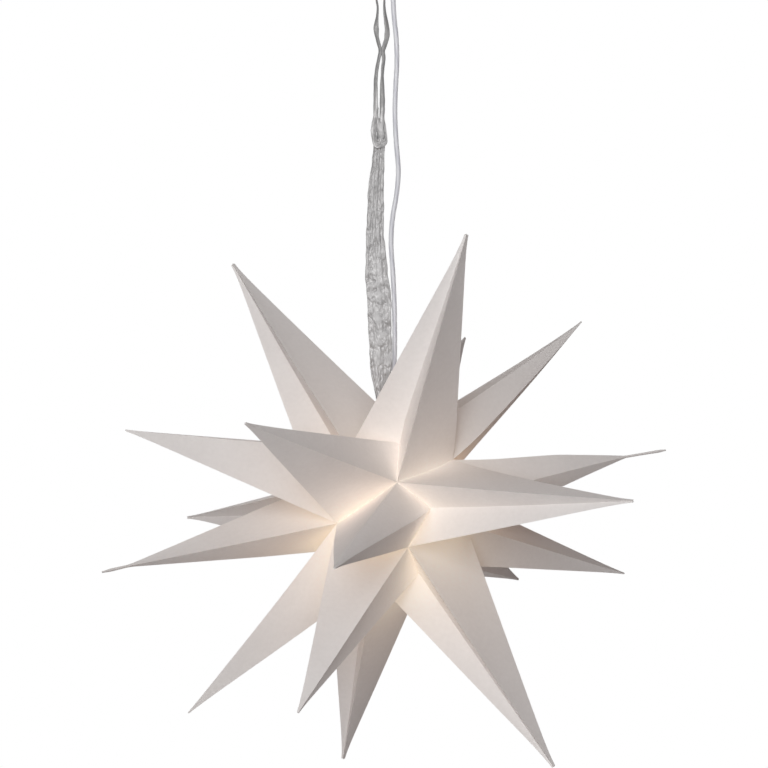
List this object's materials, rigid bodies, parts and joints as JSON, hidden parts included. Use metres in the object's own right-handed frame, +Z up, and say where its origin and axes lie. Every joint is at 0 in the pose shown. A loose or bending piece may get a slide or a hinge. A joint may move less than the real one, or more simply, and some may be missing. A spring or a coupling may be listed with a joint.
{
  "type": "folded paper star pendant",
  "caption": "Hanging star of folded paper points round a hollow core, with a small lamp inside, on a knotted ribbon and a cable under a ceiling rose with a hook.",
  "frame": {"origin": "on the ceiling, midway between the two screw holes of the bar and above the hook", "axes": "+Z up out of the ceiling screws, +X to the right and +Y away from the viewer, along the bar"},
  "size_m": [0.5511, 0.5651, 0.8301],
  "materials": {
    "white_paper": "matt off-white card, lets lamp light through",
    "silver_ribbon": "crushed silver-grey fabric, soft sheen",
    "clear_cable": "milky translucent sheath",
    "white_plastic": "moulded, fine grain",
    "insert_plastic": "heat-proof moulding",
    "clear_plastic": "milky polyamide",
    "zinc_steel": "zinc plated",
    "white_enamel": "satin white enamel",
    "bright_steel": "bright plated wire",
    "brass": "turned brass",
    "nickel": "nickel plated, rolled thread",
    "black_glass": "black insulator",
    "solder": "solder dome",
    "lamp_plastic": "white lamp housing",
    "opal_glass": "opal diffuser, lit"
  },
  "bodies": {
    "rose": {"cable_bush": "white_plastic", "ceiling_bar": "zinc_steel", "ceiling_cup": "white_enamel", "ceiling_hook": "bright_steel", "clamp_nut": "zinc_steel", "hook_nut": "zinc_steel", "terminal_block": "clear_plastic", "terminal_screws": "brass"},
    "hanger": {"cable": "clear_cable", "ribbon_front": "silver_ribbon", "ribbon_rear": "silver_ribbon", "ribbon_knot": "silver_ribbon", "ribbon_loop": "silver_ribbon", "cord_grip": "white_plastic", "holder_cap": "white_plastic", "holder_body": "white_plastic", "contact_insert": "insert_plastic", "insert_screws": "brass", "screw_shell": "nickel", "centre_contact": "brass"},
    "star": {"leaf_1_left": "white_paper", "leaf_1_right": "white_paper", "leaf_2_left": "white_paper", "leaf_2_right": "white_paper", "leaf_3_left": "white_paper", "leaf_3_right": "white_paper", "leaf_4_left": "white_paper", "leaf_4_right": "white_paper", "leaf_5_left": "white_paper", "leaf_5_right": "white_paper", "leaf_6_left": "white_paper", "leaf_6_right": "white_paper"},
    "lamp": {"lamp_cap": "nickel", "lamp_insulator": "black_glass", "foot_contact": "solder", "lamp_collar": "lamp_plastic", "lamp_globe": "opal_glass"}
  },
  "joints": [
    {"name": "swing", "type": "hinge", "parent": "rose", "child": "hanger", "pos_m": [0, 0, -0.051], "axis": [0, 1, 0], "range_deg": [-30, 30], "deforming": ["cable"]},
    {"name": "turn", "type": "hinge", "parent": "hanger", "child": "star", "pos_m": [0.00496, 0.00423, -0.559], "axis": [0, 0, 1], "range_deg": [-90, 90], "deforming": ["ribbon_front", "ribbon_rear"]},
    {"name": "lamp_screw", "type": "hinge", "parent": "hanger", "child": "lamp", "pos_m": [0.00496, 0.00423, -0.559], "axis": [0, 0, -1], "range_deg": [0, 1080]}
  ]
}
